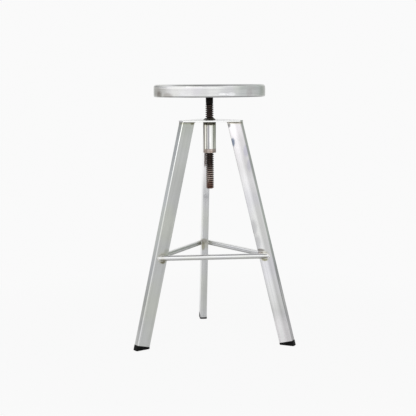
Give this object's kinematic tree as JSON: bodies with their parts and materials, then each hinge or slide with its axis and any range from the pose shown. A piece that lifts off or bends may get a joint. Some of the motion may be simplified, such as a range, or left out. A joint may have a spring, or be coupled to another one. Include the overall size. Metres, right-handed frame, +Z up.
{
  "type": "counter stool",
  "caption": "Backless metal counter stool: round seat on a threaded lift screw over a splayed tripod of rectangular tube with round footrest bars and plastic foot caps.",
  "frame": {"origin": "on the floor, on the axis of the lift screw", "axes": "+Z up along the lift screw; the rear leg points along +Y, and the front footrest bar runs along X"},
  "size_m": [0.4548, 0.415, 0.7265],
  "materials": {
    "seat_steel": "satin brushed steel with soft blotches",
    "stand_steel": "satin raw steel, heat tint by the welds",
    "footrest_steel": "polished satin steel",
    "sleeve_steel": "turned steel",
    "nut_steel": "turned steel tinted by rust",
    "screw_steel": "dark oiled steel, rusty at the lower end",
    "weld": "weld bead with heat tint",
    "mounting_steel": "plain mill-finish steel",
    "fastener": "zinc plated",
    "dark_fastener": "blackened",
    "ring_rubber": "greasy dark rubber",
    "cap_plastic": "black moulded plastic"
  },
  "bodies": {
    "stand": {"top_plate": "stand_steel", "nut_sleeve": "sleeve_steel", "sleeve_weld": "weld", "upper_nut": "nut_steel", "lower_nut": "nut_steel", "leg_front_left": "stand_steel", "leg_front_right": "stand_steel", "leg_rear": "stand_steel", "footrest_front": "footrest_steel", "footrest_left": "footrest_steel", "footrest_right": "footrest_steel", "foot_cap_front_left": "cap_plastic", "foot_cap_front_right": "cap_plastic", "foot_cap_rear": "cap_plastic"},
    "dust ring": {"dust_ring": "ring_rubber"},
    "seat unit": {"lift_screw": "screw_steel", "hub_collar": "mounting_steel", "grub_screws": "dark_fastener", "hub_flange": "mounting_steel", "flange_bolts": "fastener", "flange_washers": "fastener", "brace_bar_long": "mounting_steel", "brace_bars_short": "mounting_steel", "seat_pan": "seat_steel"}
  },
  "joints": [
    {"name": "seat_turn", "type": "hinge", "parent": "stand", "child": "dust ring", "pos_m": [0, 0, 0.627], "axis": [0, 0, 1], "range_deg": [-2520, 5400]},
    {"name": "seat_lift", "type": "slide", "parent": "dust ring", "child": "seat unit", "axis": [0, 0, 1], "range_m": [-0.0406, 0.087]}
  ],
  "couplings": [
    {"joint": "seat_lift", "follows": "seat_turn", "m_per_rad": 0.0009231}
  ]
}
